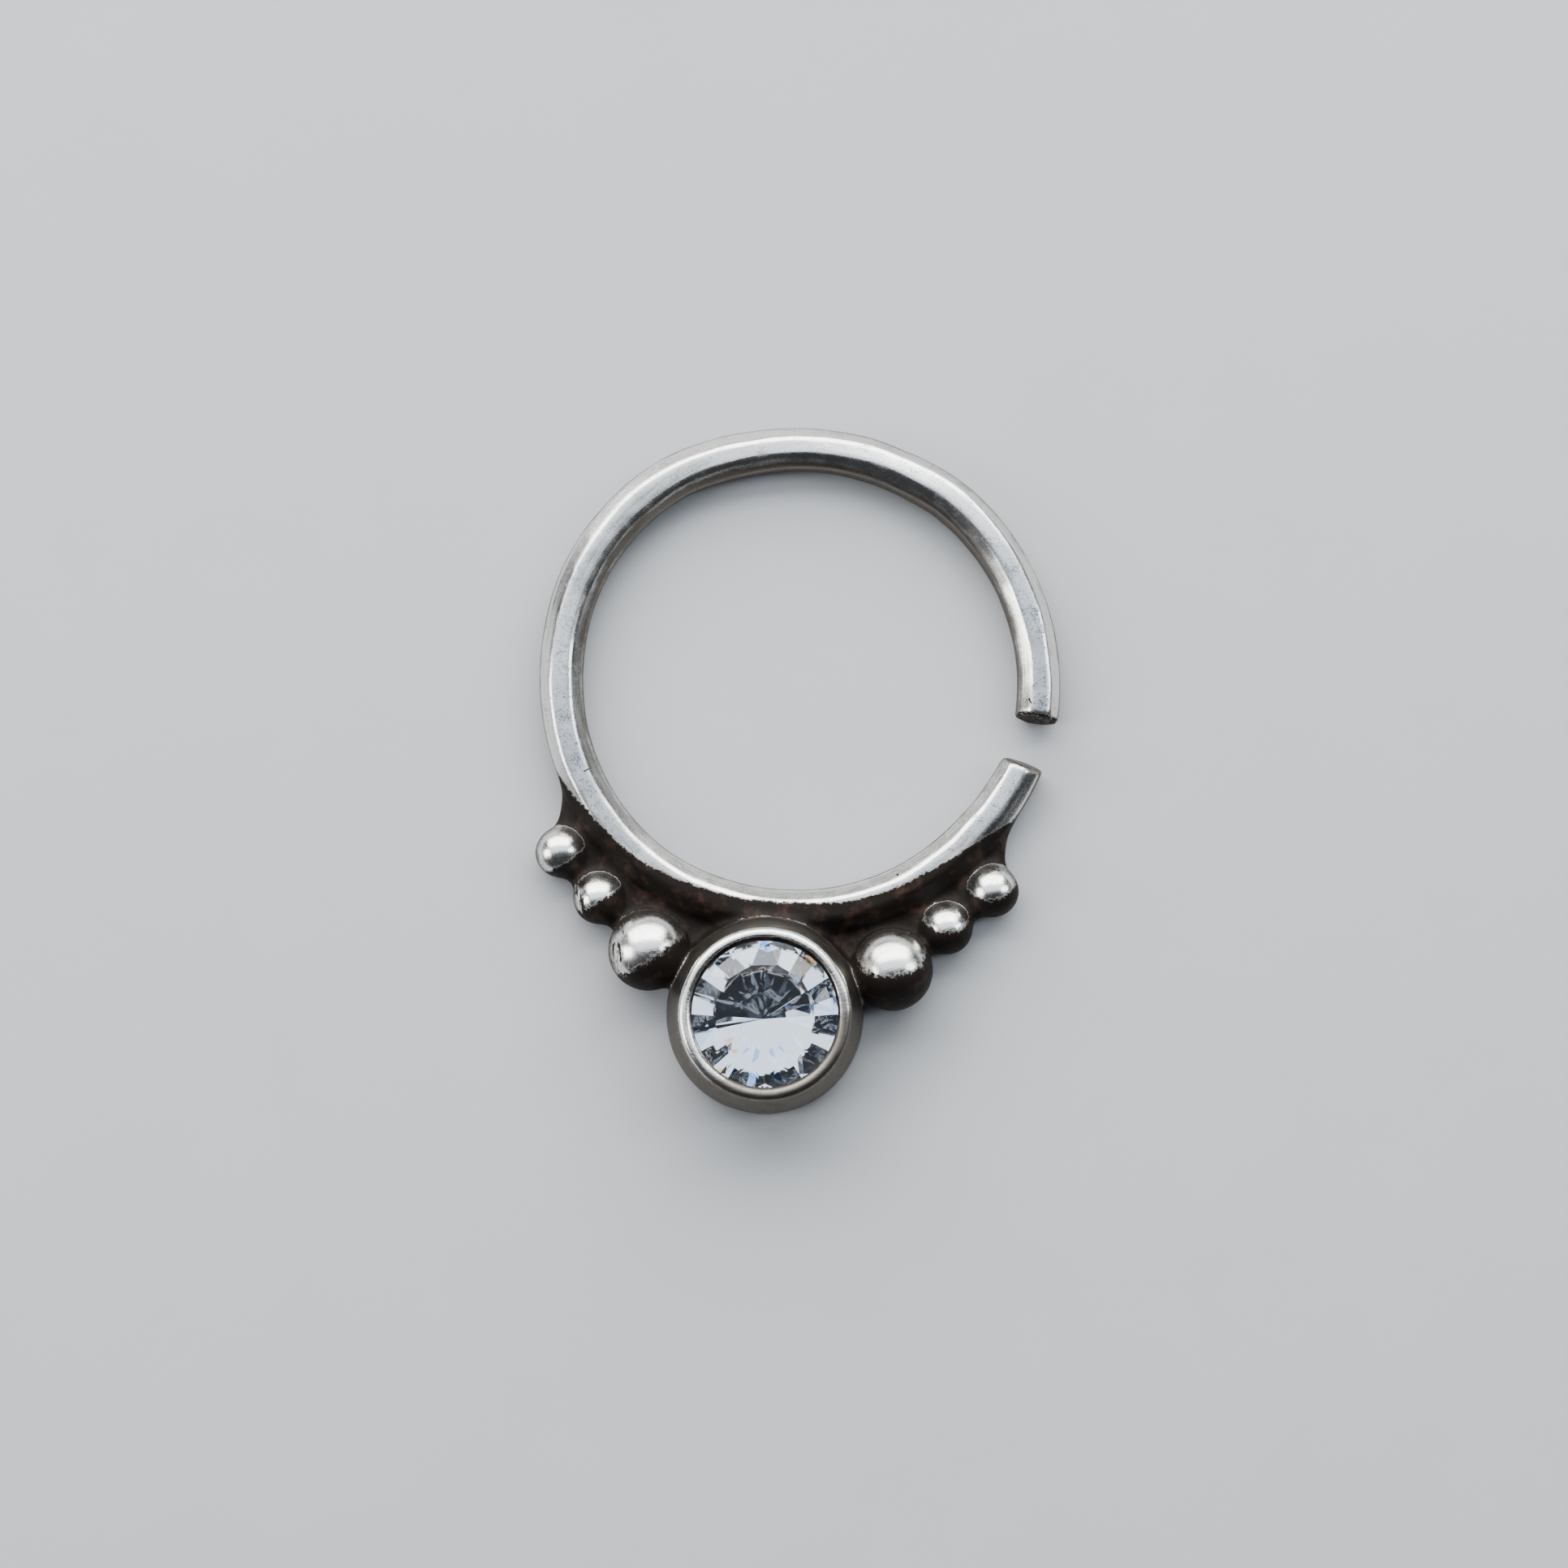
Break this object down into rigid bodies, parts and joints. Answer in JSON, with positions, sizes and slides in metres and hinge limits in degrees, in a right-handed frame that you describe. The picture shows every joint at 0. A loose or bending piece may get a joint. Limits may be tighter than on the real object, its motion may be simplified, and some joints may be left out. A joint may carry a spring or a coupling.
{
  "type": "septum ring",
  "caption": "Open silver hoop with a gap, soldered granules along its lower edge and a round cut stone in a tube setting.",
  "frame": {"origin": "middle of the footprint, on the plane of the filed back", "axes": "+Z out of the face with the stone, +Y towards the top of the hoop, +X towards the gap in the hoop"},
  "size_m": [0.0122, 0.0158, 0.0022],
  "materials": {
    "oxidised_silver": "hand-polished silver with dark oxidised recesses",
    "clear_stone": "polished clear facets"
  },
  "bodies": {
    "root": {"silver_ring": "oxidised_silver", "stone": "clear_stone"}
  },
  "joints": []
}
